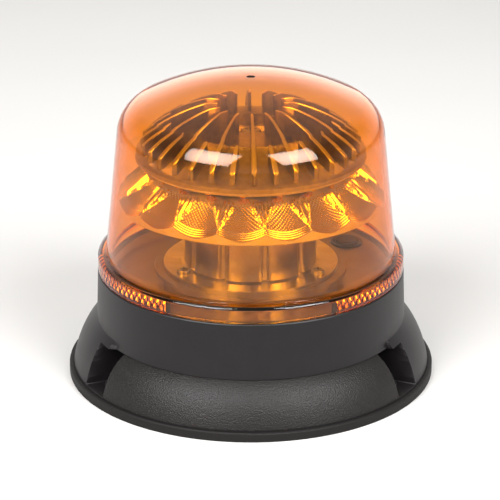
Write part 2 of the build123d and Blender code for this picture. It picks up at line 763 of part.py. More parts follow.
# ---------------------------------------------------------------- heat sink
# Casting: round plate, stepped hub, radial fins under a domed outline, central foot.
fin_root = sink_under + sink_plate
fin_outer = sink_radius - 2.7
fin_cap_radius = sink_radius * fin_cap_ratio
cap_centre = sink_top + 2.5 - fin_cap_radius
short_fin_inner = sink_radius * 0.7
long_fin_inner = well_radius + 1.0
well_floor = fin_root + 5.5
fin_offset = 1.8
with BuildPart() as heat_sink:
    with BuildSketch(Plane.XZ):
        Polygon(
            (0, reflector_seat),
            (sink_foot_radius, reflector_seat),
            (sink_foot_radius, sink_under),
            (sink_radius, sink_under),
            (sink_radius, fin_root),
            (sink_radius - 5.0, fin_root),
            (sink_radius - 7.0, fin_root + 2.5),
            (sink_radius - 11.5, fin_root + 2.5),
            (sink_radius - 13.5, fin_root + 6.0),
            (sink_radius - 21.0, fin_root + 8.0),
            (sink_radius - 23.0, fin_root + 10.5),
            (well_radius, fin_root + 11.5),
            (well_radius, well_floor),
            (0, well_floor),
            align=None,
        )
    revolve(axis=Axis.Z)
    for i in range(fin_count):
        inner = long_fin_inner if i % 2 == 0 else short_fin_inner
        turn = fin_offset + i * 360 / fin_count
        with BuildSketch(Plane.XY.offset(fin_root - 0.5).rotated((0, 0, turn - 90))):
            with Locations(((fin_outer + inner) / 2, 0)):
                SlotOverall(fin_outer - inner, fin_thickness)
        extrude(amount=sink_top - fin_root + 0.5)
    with BuildSketch(Plane.XZ):
        with BuildLine():
            low = cap_centre + sqrt(fin_cap_radius**2 - sink_radius**2)
            flat = sqrt(fin_cap_radius**2 - (sink_top - cap_centre) ** 2)
            Polyline((0, sink_top), (0, reflector_seat), (sink_radius, reflector_seat), (sink_radius, low))
            RadiusArc((sink_radius, low), (flat, sink_top), -fin_cap_radius)
            Line((flat, sink_top), (0, sink_top))
        make_face()
    revolve(axis=Axis.Z, mode=Mode.INTERSECT)
    with BuildSketch(Plane.XY.offset(well_floor)):
        Circle(sink_screw[0])
    extrude(amount=reflector_seat - well_floor, mode=Mode.SUBTRACT)
    with BuildSketch(Plane.XY.offset(sink_under)):
        with Locations(*board_screw_points):
            Circle(small_screw[0])
    extrude(amount=2.0, mode=Mode.SUBTRACT)
save(heat_sink, "heat_sink")

heat_sink_screw = screws([(0, 0)], well_floor, well_floor - reflector_seat + 8.0, sink_screw)
save(heat_sink_screw, "heat_sink_screw")

# ---------------------------------------------------------------- pattern button
# Push button on the deck that steps the flash pattern, over a small switch board.
button_at = around(button_circle, button_angle)
bezel_height = 1.0
switch_top = deck_under - switch_drop
switch_body = 2.6
plunger_top = switch_top + switch_body + 0.6
stem_bottom = plunger_top + running_gap + button_travel
with BuildPart() as button_bezel:
    with BuildSketch(Plane.XY.offset(deck_top)):
        with Locations(button_at):
            Circle(bezel_radius + bezel_width)
            Circle(bezel_radius, mode=Mode.SUBTRACT)
    extrude(amount=bezel_height)
    fillet(button_bezel.edges().sort_by(Axis.Z)[-2:], 0.35)
save(button_bezel, "button_bezel")

with BuildPart() as pattern_button:
    with BuildSketch(Plane.XY.offset(deck_under - running_gap)):
        with Locations(button_at):
            Circle(button_radius)
    extrude(amount=deck_top + button_rise - deck_under + running_gap)
    fillet(pattern_button.faces().sort_by(Axis.Z)[-1].edges(), 0.8)
    with BuildSketch(Plane.XY.offset(deck_under - running_gap)):
        with Locations(button_at):
            Circle(lip_radius)
    extrude(amount=-1.0)
    with BuildSketch(Plane.XY.offset(deck_under - running_gap - 1.0)):
        with Locations(button_at):
            Circle(1.6)
    extrude(amount=stem_bottom - deck_under + running_gap + 1.0)
save(pattern_button, "pattern_button")

with BuildPart() as switch_board:
    with BuildSketch(Plane.XY.offset(switch_top - 1.2).rotated((0, 0, button_angle - 90))):
        with Locations((button_circle, 0)):
            Rectangle(8.0, 2 * switch_boss_shift + 5.0)
        with Locations((button_circle, switch_boss_shift), (button_circle, -switch_boss_shift)):
            Circle(small_screw[0], mode=Mode.SUBTRACT)
    extrude(amount=1.2)
save(switch_board, "switch_board")

with BuildPart() as button_switch:
    with BuildSketch(Plane.XY.offset(switch_top).rotated((0, 0, button_angle - 90))):
        with Locations((button_circle, 0)):
            Rectangle(6.0, 6.0)
    extrude(amount=switch_body)
    with BuildSketch(Plane.XY.offset(switch_top + switch_body)):
        with Locations(button_at):
            Circle(1.7)
    extrude(amount=0.6)
save(button_switch, "button_switch")

along_x = -sin(radians(button_angle - 90)) * switch_boss_shift
along_y = cos(radians(button_angle - 90)) * switch_boss_shift
switch_screw_points = [
    (button_at[0] + along_x, button_at[1] + along_y),
    (button_at[0] - along_x, button_at[1] - along_y),
]
switch_board_screws = screws(switch_screw_points, switch_top - 1.2, 1.2 + 4.0, small_screw, up=True)
save(switch_board_screws, "switch_board_screws")
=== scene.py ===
import math

import bpy
import numpy as np
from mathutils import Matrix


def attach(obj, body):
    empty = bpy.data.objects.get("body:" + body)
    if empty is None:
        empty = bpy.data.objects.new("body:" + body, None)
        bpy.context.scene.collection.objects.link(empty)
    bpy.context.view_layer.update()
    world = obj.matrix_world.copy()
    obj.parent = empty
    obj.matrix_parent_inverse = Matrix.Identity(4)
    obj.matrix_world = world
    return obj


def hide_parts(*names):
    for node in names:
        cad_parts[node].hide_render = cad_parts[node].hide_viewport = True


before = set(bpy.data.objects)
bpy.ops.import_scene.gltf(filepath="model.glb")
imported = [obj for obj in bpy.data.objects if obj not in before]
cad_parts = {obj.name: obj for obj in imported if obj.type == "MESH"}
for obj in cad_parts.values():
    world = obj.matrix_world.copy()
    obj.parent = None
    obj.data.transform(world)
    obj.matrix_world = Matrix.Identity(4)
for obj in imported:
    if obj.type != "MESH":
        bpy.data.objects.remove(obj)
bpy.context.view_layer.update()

# ---------------------------------------------------------------- mounting gasket
# A moulded EPDM ring that seals the base to the vehicle, with a bead that wraps the foot of the
# skirt. The rubber scatters light evenly, so it shows no sharp highlight.


def colour(code):
    """Turns an sRGB hex colour into the linear colour that a shader takes."""
    parts = [int(code[i : i + 2], 16) / 255 for i in (1, 3, 5)]
    return [p / 12.92 if p < 0.04045 else ((p + 0.055) / 1.055) ** 2.4 for p in parts] + [1.0]


def add(material, kind, inputs=None, **settings):
    """Adds a shader node with its settings, and gives its inputs values or links."""
    made = material.node_tree.nodes.new("ShaderNode" + kind)
    for name, value in settings.items():
        setattr(made, name, value)
    for socket, value in (inputs or {}).items():
        if isinstance(value, bpy.types.NodeSocket):
            material.node_tree.links.new(value, made.inputs[socket])
        else:
            made.inputs[socket].default_value = value
    return made


def new_material(name):
    """An empty node material named for what the piece is made of."""
    material = bpy.data.materials.new(name)
    material.use_nodes = True
    material.node_tree.nodes.clear()
    return material


def mottled(material, first, second, per_mm, detail=3.0):
    """A colour that drifts between two shades, with its patches counted per millimetre."""
    place = add(material, "TexCoord").outputs["Object"]
    patches = {"Vector": place, "Scale": per_mm * 1000, "Detail": detail}
    noise = add(material, "TexNoise", patches)
    ramp = add(material, "ValToRGB", {"Fac": noise.outputs[0]})
    ramp.color_ramp.elements[0].position = 0.3
    ramp.color_ramp.elements[1].position = 0.7
    ramp.color_ramp.elements[0].color = colour(first)
    ramp.color_ramp.elements[1].color = colour(second)
    return ramp.outputs["Color"], noise.outputs[0]


def dress(material, *nodes):
    """Gives CAD nodes a material."""
    for node in nodes:
        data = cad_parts[node].data
        data.materials.clear()
        data.materials.append(material)


# EPDM rubber: fine grain, soft wide highlight
epdm = new_material("EPDM rubber")
shade, grain = mottled(epdm, "#0a0908", "#100e0d", 2.5)
rough = add(epdm, "Bump", {"Height": grain, "Strength": 0.5, "Distance": 0.0002})
look = {"Base Color": shade, "Normal": rough.outputs[0], "Roughness": 0.62, "IOR": 1.33}
body = add(epdm, "BsdfPrincipled", look)
add(epdm, "OutputMaterial", {"Surface": body.outputs[0]})
dress(epdm, "mounting_gasket")

# ---------------------------------------------------------------- base housing
# One injection moulding in black ABS: a plain collar over a flared skirt, with a deep pocket at
# each bolt. The front of the skirt is a grained panel set in under a crisp edge of the collar;
# the two other sides are smooth lobes that run into the collar.


def make_piece(name, points, faces, materials, body, sharp, face_materials=None):
    """A mesh from points in millimetres that moves with a body, smooth but for sharp edges."""
    mesh = bpy.data.meshes.new(name)
    places = (np.asarray(points, float) / 1000).tolist()
    mesh.from_pydata(places, [], [list(map(int, face)) for face in faces])
    mesh.validate()
    for material in materials:
        mesh.materials.append(material)
    if face_materials is not None:
        mesh.polygons.foreach_set("material_index", np.asarray(face_materials, dtype=np.int32))
    mesh.shade_smooth()
    mesh.set_sharp_from_angle(angle=math.radians(sharp))
    piece = bpy.data.objects.new(name, mesh)
    bpy.context.scene.collection.objects.link(piece)
    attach(piece, body)
    return piece


def ring_grid(rows, turns):
    """Faces of a closed ring of points: its rows run along a profile, each once round the axis."""
    faces = []
    for i in range(rows):
        for j in range(turns):
            k = (j + 1) % turns
            n = (i + 1) % rows
            faces.append((i * turns + j, i * turns + k, n * turns + k, n * turns + j))
    return faces


def polar(radius, angle, height):
    """Points from radii, angles round from the front in degrees, and heights."""
    a = np.radians(angle)
    return np.stack([radius * np.sin(a), -radius * np.cos(a), height + 0 * radius], -1)


foot_radius, foot_top = 78.1, 4.4
collar_radius, collar_draft, collar_height = 67.5, 0.8, 24.7
collar_edge = 22.8
panel_top = collar_edge - 0.05
housing_wall, cavity_radius = 2.6, 52.3
pocket_centres = (60.0, 180.0, 300.0)
pocket_floor, pocket_roof = 5.0, 22.4
pocket_half_width, pocket_edge = 7.2, 5.9  # millimetres, and degrees round from its middle
pocket_back, pocket_back_inside = 56.3, 53.8


def quadratic(start, pull, end, count):
    """Points along a curve from start to end that is pulled towards a third point."""
    t = np.linspace(0, 1, count)[:, None]
    return (1 - t) ** 2 * np.array(start) + 2 * t * (1 - t) * np.array(pull) + t**2 * np.array(end)


lobe = quadratic((foot_radius, foot_top), (74.8, 19.6), (67.4, 25.9), 60)
panel = quadratic((foot_radius, foot_top), (75.3, 17.2), (66.9, panel_top), 60)


def skirt_radius(height, front):
    """Outside radius of the base at a height, on the front panel or on the side lobes."""
    curve = panel if front else lobe
    if height <= foot_top:
        return foot_radius
    if height >= curve[-1, 1]:
        return collar_radius - (height - collar_edge) * collar_draft / collar_height
    return float(np.interp(height, curve[:, 1], curve[:, 0]))


# Angles are closer together at the pockets' edges, where the lips turn in, and in pairs at the
# ends of the lens ring's arcs and of the track in them
angles = set(np.arange(0, 360, 2.0).round(3))
for centre in pocket_centres:
    for side in (-1, 1):
        for step in np.linspace(-1.6, 1.6, 17):
            angles.add(round((centre + side * pocket_edge + step) % 360, 3))
for edge in (33, 34.5, 59.5, 78.5, 87):
    for third in (0, 120, 240):
        angles.update((edge + third - 0.15, edge + third + 0.15))
angles = np.array(sorted(angles))
flare = [np.linspace(2.0, foot_top, 4), np.linspace(4.75, 6.2, 8), np.linspace(6.8, 20.6, 24)]
collar = [np.linspace(20.9, 23.4, 14), np.linspace(24.0, 26.4, 7), np.linspace(28, 46.6, 6)]
heights = np.concatenate(flare + collar + [[47.1]])
front_angles = (angles < 60) | (angles > 300)


def step_up(value, start, end):
    """Smooth rise from 0 to 1 between two values."""
    t = np.clip((value - start) / (end - start), 0, 1)
    return t * t * (3 - 2 * t)


def pocket_depth(height, radius, angle, grow):
    """How far, from 0 to 1, the skin is drawn in to the back of a pocket."""
    depth = np.zeros_like(angle)
    for centre in pocket_centres:
        off = np.abs((angle - centre + 180) % 360 - 180)
        across = radius * np.sin(np.radians(np.minimum(off, 89)))
        lip_start = pocket_half_width - 0.35 + grow
        lip_end = pocket_half_width + 0.55 + grow
        inside = 1 - step_up(across, lip_start, lip_end)
        depth = np.maximum(depth, inside * (off < 60))
    above_floor = step_up(height, pocket_floor - 0.3 - grow, pocket_floor + 0.15 - grow)
    above_roof = step_up(height, pocket_roof - 0.1 + grow, pocket_roof + 0.35 + grow)
    return depth * above_floor * (1 - above_roof)


outside = []
for height in heights:
    plain = np.where(front_angles, skirt_radius(height, True), skirt_radius(height, False))
    depth = pocket_depth(height, plain, angles, 0.0)
    outside.append(polar(plain + (pocket_back - plain) * depth, angles, height))
# The groove of the lens seal, the three arcs of the lens ring with the track that the lens's
# lugs turn in, and the deck with the step that carries the tower
deck_top = 47.5
arc_half_span, track_start, way_start, track_end = 27.1, 34.4, 59.4, 78.6
track_radius, arc_radius = 62.55, 64.05
turned_in = angles % 120
arcs = np.where(np.abs(turned_in - 60) < arc_half_span, 1.0, 0.02)
in_track = (turned_in > track_start) & (turned_in < track_end)
in_way = (turned_in > way_start) & (turned_in < track_end)
track = np.where(in_track, track_radius, arc_radius)
way_in = np.where(in_way, track_radius, arc_radius)
flat = 0 * angles
seal_rows = ((66.4, 0), (66.1, 0), (66.1, -1.0), (64.9, -1.0), (64.9, 0), (64.1, 0))
for radius, rise in seal_rows:
    outside.append(polar(radius + flat, angles, deck_top + rise + flat))
ring_rows = ((track, 0.02), (track, 2.5), (way_in, 2.5), (way_in, 4.9), (way_in - 0.2, 5.1))
ring_rows += ((61.65 + flat, 5.1), (61.45 + flat, 4.9), (61.45 + flat, 0.1))
for radii, rise in ring_rows:
    outside.append(polar(radii, angles, deck_top + arcs * rise))
first_deck_row = len(outside)
for radius, rise in ((61.4, 0), (42.0, 0), (42.0, 1.3), (41.8, 1.5), (3.0, 1.5), (3.0, -3.0)):
    outside.append(polar(radius + flat, angles, deck_top + rise + flat))
inside_rows = []
for height in (44.5, 30.0, 24.9, 24.6, 20.0, 9.9, 2.6, 2.0):
    thinnest = min(skirt_radius(height, True), skirt_radius(height, False))
    plain = np.full(len(angles), thinnest - housing_wall if height > 10 else cavity_radius)
    depth = pocket_depth(min(height, 22.0), plain, angles, 2.2) if 5 < height < 24.8 else 0 * plain
    inside_rows.append(polar(plain + (pocket_back_inside - plain) * depth, angles, height))
rows = outside + inside_rows

# ABS, spark-polished in the mould: near black with a soft even sheen
abs_smooth = new_material("smooth black ABS")
shade, _ = mottled(abs_smooth, "#0c090b", "#100d0f", 0.12)
body = add(abs_smooth, "BsdfPrincipled", {"Base Color": shade, "Roughness": 0.42, "IOR": 1.38})
add(abs_smooth, "OutputMaterial", {"Surface": body.outputs[0]})

# The deck inside the lens comes off a polished part of the mould and mirrors the tower. Its
# colour is painted light: the black ABS is drawn mid grey, far lighter than the rest of the
# moulding, to stand in for the amber light on it, so that it shows through the amber
abs_polished_painted_light = new_material("polished black ABS painted lighter")
shade, _ = mottled(abs_polished_painted_light, "#746d67", "#7c756e", 0.12)
body = add(abs_polished_painted_light, "BsdfPrincipled", {"Base Color": shade, "Roughness": 0.1, "IOR": 1.53})
add(abs_polished_painted_light, "OutputMaterial", {"Surface": body.outputs[0]})

# ABS moulded against an etched face: grains about half a millimetre across catch small lights
abs_grained = new_material("grained black ABS")
shade, grain = mottled(abs_grained, "#0b0908", "#151210", 1.8, 1.0)
rough = add(abs_grained, "Bump", {"Height": grain, "Strength": 0.8, "Distance": 0.0003})
look = {"Base Color": shade, "Normal": rough.outputs[0], "Roughness": 0.42, "IOR": 1.36}
body = add(abs_grained, "BsdfPrincipled", look)
add(abs_grained, "OutputMaterial", {"Surface": body.outputs[0]})

faces = ring_grid(len(rows), len(angles))
# The deck rows take the polished ABS, whose mid grey is painted light on black plastic
finishes = [abs_smooth, abs_grained, abs_polished_painted_light]
skins = []
for i in range(len(rows)):
    on_deck = first_deck_row <= i < len(outside) - 1
    on_panel = i < len(heights) and foot_top - 0.1 < heights[i] < panel_top
    for j in range(len(angles)):
        skins.append(2 if on_deck else 1 if on_panel and front_angles[j] else 0)
base = make_piece("base_shell", np.concatenate(rows), faces, finishes, "base", 32, skins)
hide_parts("base_housing")
dress(abs_smooth, "bottom_plate", "button_bezel")

# ---------------------------------------------------------------- pattern button
# Silicone cap over a small switch, pressed to step through the flash patterns. The seals and
# the cable grommet are the same rubber: darker and a little shinier than the moulding.
silicone = new_material("black silicone")
shade, _ = mottled(silicone, "#0e0e0e", "#141414", 0.4)
body = add(silicone, "BsdfPrincipled", {"Base Color": shade, "Roughness": 0.5, "IOR": 1.43})
add(silicone, "OutputMaterial", {"Surface": body.outputs[0]})
dress(silicone, "pattern_button", "lens_seal", "bottom_plate_seal", "cable_grommet")

# ---------------------------------------------------------------- screws and sleeves
# Turned and headed steel with bright zinc plating, slightly cloudy. The sleeves take the load
# of the mounting bolts, so that the plastic round them isn't crushed.
zinc = new_material("zinc plated steel")
shade, _ = mottled(zinc, "#a9abad", "#c6c8c8", 0.8)
body = add(zinc, "BsdfPrincipled", {"Base Color": shade, "Metallic": 1.0, "Roughness": 0.3})
add(zinc, "OutputMaterial", {"Surface": body.outputs[0]})
screw_nodes = [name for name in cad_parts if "screw" in name]
dress(zinc, "mounting_sleeves", *screw_nodes)

# ---------------------------------------------------------------- driver electronics
# A fibreglass board with green solder mask carries the converter that feeds the LEDs. It
# hangs under the deck, and two wires lead from its plug up through the tower.
electronics = (
    ("green solder mask", "#14532a", "#1a6234", 0.0, 0.4, 0.6, ("driver_board", "switch_board")),
    ("epoxy packages", "#1a1a1b", "#232324", 0.0, 0.45, 0.5, ("driver_chips", "button_switch")),
    ("ferrite", "#2b2b2d", "#39393b", 0.0, 0.6, 1.0, ("power_inductor",)),
    ("aluminium cans", "#9fa1a4", "#b4b6b9", 1.0, 0.35, 0.3, ("capacitors",)),
    ("polyamide terminal", "#1c7a3e", "#218a48", 0.0, 0.4, 0.3, ("power_terminal",)),
    ("natural nylon", "#dcd9cc", "#e6e4da", 0.0, 0.45, 0.3, ("led_connector",)),
    ("silicone pad", "#7b8287", "#878e93", 0.0, 0.7, 0.5, ("thermal_pad",)),
    ("grey polyamide", "#55575a", "#626467", 0.0, 0.5, 0.5, ("vent_plug",)),
    ("PVC wire", "#8f1d17", "#9d231b", 0.0, 0.35, 0.5, ("led_leads",)),
)
for name, first, second, metallic, roughness, per_mm, nodes in electronics:
    made = new_material(name)
    shade, _ = mottled(made, first, second, per_mm)
    look = {"Base Color": shade, "Metallic": metallic, "Roughness": roughness}
    body = add(made, "BsdfPrincipled", look)
    add(made, "OutputMaterial", {"Surface": body.outputs[0]})
    dress(made, *nodes)

# ---------------------------------------------------------------- tower
# Die-cast aluminium tube with ten narrow flutes, screwed to the deck by its flange. The light
# head sits on its closed top.
tower_foot, tower_top, tower_radius, tower_bore = 49.0, 93.1, 28.5, 26.1
flute_radius, flute_pitch, first_flute = 1.5, 36.0, 12.0
tower_turns = 720
turn = np.linspace(0, 360, tower_turns, endpoint=False)
nearest = np.abs((turn - first_flute + flute_pitch / 2) % flute_pitch - flute_pitch / 2)
across = np.radians(nearest) * tower_radius
flute = np.sqrt(np.maximum(flute_radius**2 - across**2, 0)) * (across < flute_radius)
soft = 0.35 * step_up(-across, -2.6, -1.5) * (across >= flute_radius)
fluted = tower_radius - flute - soft
flange = ((tower_bore, tower_foot), (38.0, tower_foot), (38.0, 50.3), (37.7, 50.6), (30.3, 50.6))
screw_seat = ((2.5, tower_top), (2.5, 84.6), (5.5, 84.6), (5.5, 90.1), (tower_bore, 90.1))
tower_rows = [polar(np.full(tower_turns, r), turn, z) for r, z in flange]
tower_rows.append(polar(fluted + 0.5, turn, 51.4))
for height in (60.0, 75.0, 92.7):
    tower_rows.append(polar(fluted, turn, height))
tower_rows.append(polar(fluted - 0.4, turn, tower_top))
tower_rows += [polar(np.full(tower_turns, r), turn, z) for r, z in screw_seat]

# Cast aluminium, shot blasted: satin, with slight clouding from the blast
blasted = new_material("blasted aluminium")
shade, _ = mottled(blasted, "#b9b6b0", "#cfccc6", 0.15)
body = add(blasted, "BsdfPrincipled", {"Base Color": shade, "Metallic": 1.0, "Roughness": 0.3})
add(blasted, "OutputMaterial", {"Surface": body.outputs[0]})
tower_faces = ring_grid(len(tower_rows), tower_turns)
tower = make_piece("fluted_tower", np.concatenate(tower_rows), tower_faces, [blasted], "base", 30)
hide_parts("tower")

# ---------------------------------------------------------------- reflector
# Moulded polycarbonate dish with eighteen scooped cells that meet in sharp ridges, each cell
# covered in small pillows; vacuum metallised with aluminium.
cell_count, cell_turns, first_ridge = 18, 48, 6.0
dish_top, dish_rim, dish_under = 94.6, 81.0, 93.1
dish_bore, cell_start, dish_edge = 16.5, 42.5, 57.4
fall = (dish_top - dish_rim) / (dish_edge - cell_start)
reach = np.concatenate([[dish_bore, 30.0, 41.0], np.linspace(42.0, 57.3, 140)])
around = np.linspace(0, 360, cell_count * cell_turns, endpoint=False)


def dish_height(radius, angle):
    """Height of the bright face: scooped cells with pillows, fluted webs and a ringed rim."""
    pitch = 360 / cell_count
    off = (angle - first_ridge) % pitch - pitch / 2
    across = radius * np.sin(np.radians(off))
    floor = dish_top - np.maximum(radius - cell_start, 0) * fall
    scoop = across**2 / 36.0
    beside = radius * np.sin(np.radians(pitch / 2)) - np.abs(across)
    width = np.interp(radius, [42.5, 46.5, 56.2], [3.2, 4.4, 0.0])
    fang = step_up(width - beside, 0.0, 0.5) * step_up(radius, 43.5, 46.0)
    flute = 1.0 + 0.42 * np.cos(2 * np.pi * beside / 1.75)
    pillow = 0.12 * np.cos(2 * np.pi * across / 1.6) * np.cos(2 * np.pi * radius / 1.3)
    fade = step_up(radius, 43, 45) * (1 - step_up(radius, 53.6, 54.4)) * (1 - fang)
    rings = 0.25 * np.abs((radius / 0.75) % 1 - 0.5) * step_up(radius, 53.8, 54.6)
    return np.minimum(floor + scoop + pillow * fade - rings + fang * flute, dish_top)


dish_rows = []
for radius in reach:
    circle = np.full(len(around), radius)
    dish_rows.append(polar(circle, around, dish_height(circle, around)))
back = [(dish_edge, 80.8), (dish_edge, 79.4), (56.9, 79.0), (56.2, 79.0)]
back += [(36.5, dish_under), (dish_bore, dish_under)]
dish_rows += [polar(np.full(len(around), r), around, z) for r, z in back]

# Vacuum deposited aluminium on plastic: a near mirror, softened a little by the lacquer
metallised = new_material("metallised polycarbonate")
shade, _ = mottled(metallised, "#e9e6df", "#f4f2ee", 0.2)
body = add(metallised, "BsdfPrincipled", {"Base Color": shade, "Metallic": 1.0, "Roughness": 0.16})
add(metallised, "OutputMaterial", {"Surface": body.outputs[0]})
dish_faces = ring_grid(len(dish_rows), len(around))
dish_points = np.concatenate(dish_rows)
dish = make_piece("scooped_reflector", dish_points, dish_faces, [metallised], "base", 25)
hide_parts("reflector")

# ---------------------------------------------------------------- LED board and LEDs
# Aluminium-cored board with white mask, screwed under the heat sink. The LEDs face down into
# the dish; each is a ceramic package with yellow phosphor under a glossy silicone dome.
mask_white = new_material("white solder mask")
shade, _ = mottled(mask_white, "#d8d4c8", "#e4e1d7", 0.3)
body = add(mask_white, "BsdfPrincipled", {"Base Color": shade, "Roughness": 0.45, "IOR": 1.5})
add(mask_white, "OutputMaterial", {"Surface": body.outputs[0]})
dress(mask_white, "led_board")
phosphor = new_material("LED package")
shade, _ = mottled(phosphor, "#e0a53a", "#efc061", 0.8)
body = add(phosphor, "BsdfPrincipled", {"Base Color": shade, "Roughness": 0.15, "IOR": 1.46})
add(phosphor, "OutputMaterial", {"Surface": body.outputs[0]})
dress(phosphor, "leds")

# ---------------------------------------------------------------- heat sink
# Die-cast aluminium in its satin casting skin; the brighter band along the fin tops is a
# painted highlight, where they catch the light.
# Long and short fins alternate under a domed outline, round a well with the hold-down screw.
sink_under, fin_root, sink_top, sink_edge = 99.0, 101.3, 121.5, 49.7
fin_cap = 72.0
cap_centre = sink_top + 2.5 - fin_cap
hub = [(0.01, 106.8), (11.8, 106.8), (13.0, 107.2), (13.0, 112.6), (13.4, 112.8)]
hub += [(26.3, 111.8), (28.5, 109.3), (35.8, 106.6), (42.4, 103.8), (46.5, 101.8)]
hub += [(49.3, fin_root), (sink_edge, 100.9), (sink_edge, 99.3), (49.4, sink_under)]
hub += [(9.0, sink_under), (9.0, tower_top), (2.5, tower_top), (2.5, sink_under)]
hub += [(0.01, sink_under)]
sink_turns = 192
ring = np.linspace(0, 360, sink_turns, endpoint=False)
sink_points = [polar(np.full(sink_turns, r), ring, z) for r, z in hub]
sink_faces = ring_grid(len(hub), sink_turns)
count = sink_turns * len(hub)


def cap_height(radius):
    """Height of the fins' domed outline at a radius."""
    return np.minimum(cap_centre + np.sqrt(fin_cap**2 - radius**2), sink_top)


fin_count, first_fin = 32, 1.8
long_start, short_start, outer = 14.2, 34.5, 47.2
for number in range(fin_count):
    inner = long_start if number % 2 == 0 else short_start
    run = inner + (outer - inner) * np.linspace(0, 1, 26)
    half = 0.62 + 0.5 * step_up(run, 20, 46)
    half = half * np.sqrt(np.clip(1 - (1 - np.clip((run - inner) / 0.9, 0, 1)) ** 2, 0.02, 1))
    half = half * np.sqrt(np.clip(1 - (1 - np.clip((outer - run) / 0.9, 0, 1)) ** 2, 0.02, 1))
    top = cap_height(run)
    low = np.full_like(run, fin_root - 0.4)
    edge = top - 0.25
    section = ((-1.25, low), (-1, edge), (-0.72, top), (0.72, top), (1, edge), (1.25, low))
    profile = [np.stack([run, side * half, level], -1) for side, level in section]
    turned = np.radians(first_fin + number * 360 / fin_count)
    c, s = math.cos(turned), math.sin(turned)
    along, beside, level = np.stack(profile, 1).reshape(-1, 3).T
    sink_points.append(np.stack([along * s + beside * c, beside * s - along * c, level], -1))
    for i in range(len(run) - 1):
        for j in range(6):
            k = (j + 1) % 6
            a, b = count + i * 6, count + (i + 1) * 6
            sink_faces.append((a + j, a + k, b + k, b + j))
    sink_faces.append([count + j for j in range(5, -1, -1)])
    sink_faces.append([count + (len(run) - 1) * 6 + j for j in range(6)])
    count += len(run) * 6

# Satin casting skin between the fins, and a painted highlight: a brighter band along the
# domed outline
cast = new_material("die cast aluminium")
place = add(cast, "TexCoord").outputs["Object"]
ends = {0: place, 1: (0, 0, cap_centre / 1000)}
centre = add(cast, "VectorMath", ends, operation="DISTANCE")
crest_highlight_band = {"Value": centre.outputs["Value"], "From Min": 0.07155, "From Max": 0.07185}
near_cap = add(cast, "MapRange", crest_highlight_band)
split = add(cast, "SeparateXYZ", {0: place})
crest_highlight_band = {"Value": split.outputs["Z"], "From Min": 0.12120, "From Max": 0.12140}
near_top = add(cast, "MapRange", crest_highlight_band)
crest_highlight = add(cast, "Math", {0: near_cap.outputs[0], 1: near_top.outputs[0]}, operation="MAXIMUM")
dark, _ = mottled(cast, "#a39f98", "#b6b2ab", 0.4)
# Painted highlight: the band along the fin tops gets the lighter colour
tone = add(cast, "Mix", {0: crest_highlight.outputs[0], 6: dark, 7: colour("#e8e6e2")}, data_type="RGBA")
sheen = add(cast, "MapRange", {"Value": crest_highlight.outputs[0], "To Min": 0.36, "To Max": 0.28})
look = {"Base Color": tone.outputs[2], "Metallic": 1.0, "Roughness": sheen.outputs[0]}
body = add(cast, "BsdfPrincipled", look)
add(cast, "OutputMaterial", {"Surface": body.outputs[0]})
sink = make_piece("finned_heat_sink", np.concatenate(sink_points), sink_faces, [cast], "base", 35)
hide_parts("heat_sink")

# ---------------------------------------------------------------- lens
# Injection moulded clear amber polycarbonate, 2.2 mm thick, with a twist-lock flange. The
# flange has two rows of prisms inside, left out in three clear windows.
wall, lens_top = 2.2, 133.8
side_radius, side_level = 60.4, 81.0  # the drafted side's radius at one height
draft = math.tan(math.radians(5.75))
corner_radius, crown_radius = 15.8, 110.0
crown_centre = lens_top - crown_radius
# The rounded corner touches both the side and the crown, which fixes its centre
reach_in = crown_radius - corner_radius
slope = math.sqrt(1 + draft**2)
base_line = side_radius + draft * side_level - corner_radius * slope
qa = 1 + draft**2
qb = -2 * (draft * base_line + crown_centre)
qc = base_line**2 + crown_centre**2 - reach_in**2
corner_z = (-qb + math.sqrt(qb * qb - 4 * qa * qc)) / (2 * qa)
corner_r = base_line - draft * corner_z
side_turn = math.atan(draft)
crown_turn = math.asin((corner_z - crown_centre) / reach_in)


def lens_skin(inset, foot, steps):
    """Profile of the lens from its foot to the middle of the crown, moved in by an inset."""
    points = []
    r_foot = side_radius + draft * (side_level - foot) - inset * slope
    corner = corner_radius - inset
    r_start = corner_r + corner * math.cos(side_turn)
    z_start = corner_z + corner * math.sin(side_turn)
    for t in np.linspace(0, 1, steps):
        points.append((r_foot + (r_start - r_foot) * t, foot + (z_start - foot) * t))
    for t in np.linspace(0, 1, 24)[1:]:
        a = side_turn + (crown_turn - side_turn) * t
        points.append((corner_r + corner * math.cos(a), corner_z + corner * math.sin(a)))
    for t in np.linspace(0, 1, 26)[1:]:
        a = crown_turn + (math.pi / 2 - crown_turn) * t
        crown = crown_radius - inset
        points.append((max(crown * math.cos(a), 0.0), crown_centre + crown * math.sin(a)))
    return points


lens_turns = 720
ring = np.linspace(0, 360, lens_turns, endpoint=False)
flange_out, flange_in, flange_low, flange_top, step_under = 66.6, 64.4, 47.85, 55.15, 52.95
flange_round = 1.8
outer = [(flange_in + 0.3, flange_low), (flange_out - 0.3, flange_low)]
outer += [(flange_out, flange_low + 0.3), (flange_out, 50.0)]
outer += [(flange_out, flange_top - flange_round)]
for a in np.radians([18, 36, 54, 72, 90]):
    r = flange_out - flange_round + flange_round * math.cos(a)
    outer.append((r, flange_top - flange_round + flange_round * math.sin(a)))
root = side_radius + draft * (side_level - flange_top)
outer += [(root + 0.8, flange_top), (root + 0.25, flange_top + 0.15)]
outer += [(root - 0.05, flange_top + 0.8)]
skin_out = lens_skin(0.0, flange_top + 1.6, 10)[:-1]
skin_in = lens_skin(wall, step_under + 0.4, 10)[:-1]
